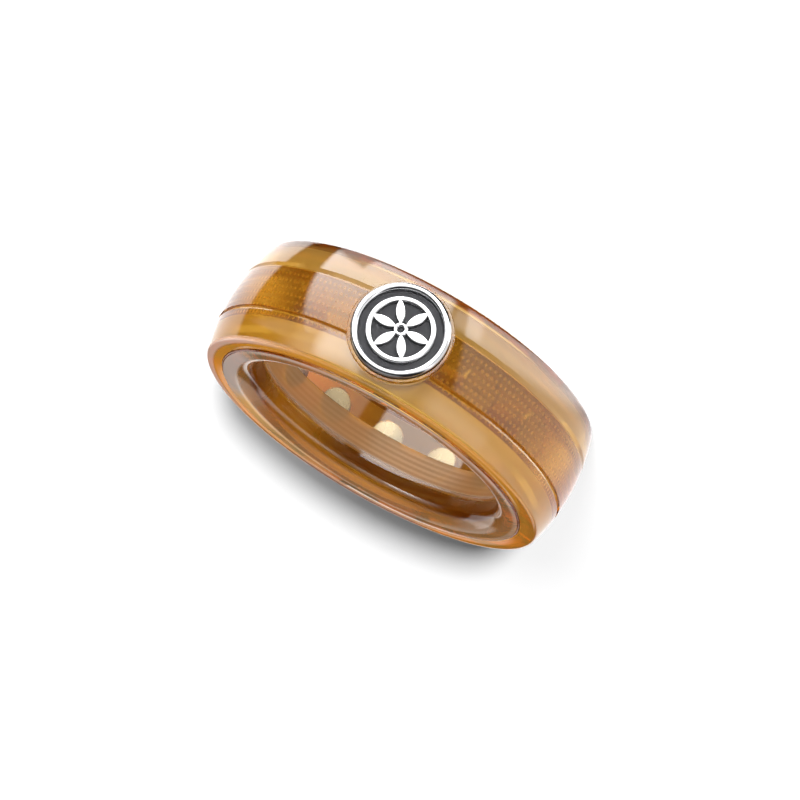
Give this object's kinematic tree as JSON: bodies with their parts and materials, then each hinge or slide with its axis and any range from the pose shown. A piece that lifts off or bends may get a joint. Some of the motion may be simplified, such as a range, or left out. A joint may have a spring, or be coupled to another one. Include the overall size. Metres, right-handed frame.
{
  "type": "fidget ring",
  "caption": "Finger ring whose clear amber band, with a round metal badge, spins on an inner sleeve that holds small metal discs around its middle.",
  "frame": {"origin": "middle of the finger hole, on the ring's axis and halfway between its two faces", "axes": "+Z along the ring's axis; the ring lies on its side on its lower face; the badge faces -Y"},
  "size_m": [0.0264, 0.0267, 0.0082],
  "materials": {
    "amber_band": "clear amber plastic, polished outside, turned inside",
    "amber_sleeve": "clear amber plastic, fine turning lines in the upper half of the finger hole",
    "badge_silver": "polished silver with a dark sunken field",
    "disc_nickel": "satin nickel"
  },
  "bodies": {
    "sleeve": {"sleeve_front": "amber_sleeve", "sleeve_back": "amber_sleeve", "disc_01": "disc_nickel", "disc_02": "disc_nickel", "disc_03": "disc_nickel", "disc_04": "disc_nickel", "disc_05": "disc_nickel", "disc_06": "disc_nickel", "disc_07": "disc_nickel", "disc_08": "disc_nickel", "disc_09": "disc_nickel", "disc_10": "disc_nickel", "disc_11": "disc_nickel", "disc_12": "disc_nickel", "disc_13": "disc_nickel", "disc_14": "disc_nickel"},
    "spinner": {"band": "amber_band", "badge": "badge_silver"}
  },
  "joints": [
    {"name": "band_spin", "type": "hinge", "parent": "sleeve", "child": "spinner", "pos_m": [0, 0, 0], "axis": [0, 0, 1], "continuous": true}
  ]
}
